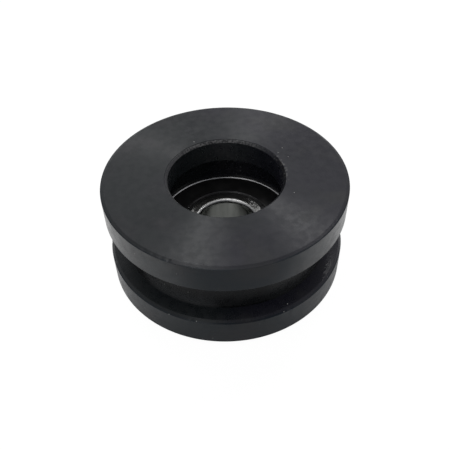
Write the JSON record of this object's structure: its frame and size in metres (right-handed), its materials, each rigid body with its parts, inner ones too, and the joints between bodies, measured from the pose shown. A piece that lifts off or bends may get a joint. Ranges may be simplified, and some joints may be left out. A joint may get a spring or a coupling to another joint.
{
  "type": "v groove wheel",
  "caption": "Black guide wheel with two equal flanges, a belt groove round its rim, a stepped recess for the axle bolt and a sealed ball bearing pressed in from the back.",
  "frame": {"origin": "on the wheel's axis, in the plane of the lowest face, which is the bearing's back face", "axes": "+Z along the axis, out of the front face with the recess; X and Y are equal, and ball 1 lies on +X"},
  "size_m": [0.033, 0.033, 0.0152],
  "materials": {
    "black_acetal": "turned, satin black",
    "bearing_steel": "ground steel",
    "seal_rubber": "moulded black rubber",
    "cage_steel": "pressed steel sheet",
    "ball_steel": "polished"
  },
  "bodies": {
    "axle_side": {"inner_ring": "bearing_steel"},
    "wheel": {"wheel_body": "black_acetal", "outer_ring": "bearing_steel", "front_seal": "seal_rubber", "rear_seal": "seal_rubber"},
    "cage": {"cage_front_half": "cage_steel", "cage_rear_half": "cage_steel", "cage_rivets": "cage_steel"},
    "rolling_ball_1": {"ball_1": "ball_steel"},
    "rolling_ball_2": {"ball_2": "ball_steel"},
    "rolling_ball_3": {"ball_3": "ball_steel"},
    "rolling_ball_4": {"ball_4": "ball_steel"},
    "rolling_ball_5": {"ball_5": "ball_steel"},
    "rolling_ball_6": {"ball_6": "ball_steel"},
    "rolling_ball_7": {"ball_7": "ball_steel"}
  },
  "joints": [
    {"name": "wheel_spin", "type": "hinge", "parent": "axle_side", "child": "wheel", "pos_m": [0, 0, 0.0035], "axis": [0, 0, 1], "continuous": true},
    {"name": "cage_turn", "type": "hinge", "parent": "axle_side", "child": "cage", "pos_m": [0, 0, 0.0035], "axis": [0, 0, 1], "continuous": true},
    {"name": "ball_1_roll", "type": "hinge", "parent": "cage", "child": "rolling_ball_1", "pos_m": [0.0075, 0, 0.0035], "axis": [0, 0, 1], "continuous": true},
    {"name": "ball_2_roll", "type": "hinge", "parent": "cage", "child": "rolling_ball_2", "pos_m": [0.00468, 0.00586, 0.0035], "axis": [0, 0, 1], "continuous": true},
    {"name": "ball_3_roll", "type": "hinge", "parent": "cage", "child": "rolling_ball_3", "pos_m": [-0.00167, 0.00731, 0.0035], "axis": [0, 0, 1], "continuous": true},
    {"name": "ball_4_roll", "type": "hinge", "parent": "cage", "child": "rolling_ball_4", "pos_m": [-0.00676, 0.00325, 0.0035], "axis": [0, 0, 1], "continuous": true},
    {"name": "ball_5_roll", "type": "hinge", "parent": "cage", "child": "rolling_ball_5", "pos_m": [-0.00676, -0.00325, 0.0035], "axis": [0, 0, 1], "continuous": true},
    {"name": "ball_6_roll", "type": "hinge", "parent": "cage", "child": "rolling_ball_6", "pos_m": [-0.00167, -0.00731, 0.0035], "axis": [0, 0, 1], "continuous": true},
    {"name": "ball_7_roll", "type": "hinge", "parent": "cage", "child": "rolling_ball_7", "pos_m": [0.00468, -0.00586, 0.0035], "axis": [0, 0, 1], "continuous": true}
  ],
  "couplings": [
    {"joint": "cage_turn", "follows": "wheel_spin", "ratio": 0.6323},
    {"joint": "ball_1_roll", "follows": "wheel_spin", "ratio": 1.7573},
    {"joint": "ball_2_roll", "follows": "wheel_spin", "ratio": 1.7573},
    {"joint": "ball_3_roll", "follows": "wheel_spin", "ratio": 1.7573},
    {"joint": "ball_4_roll", "follows": "wheel_spin", "ratio": 1.7573},
    {"joint": "ball_5_roll", "follows": "wheel_spin", "ratio": 1.7573},
    {"joint": "ball_6_roll", "follows": "wheel_spin", "ratio": 1.7573},
    {"joint": "ball_7_roll", "follows": "wheel_spin", "ratio": 1.7573}
  ]
}
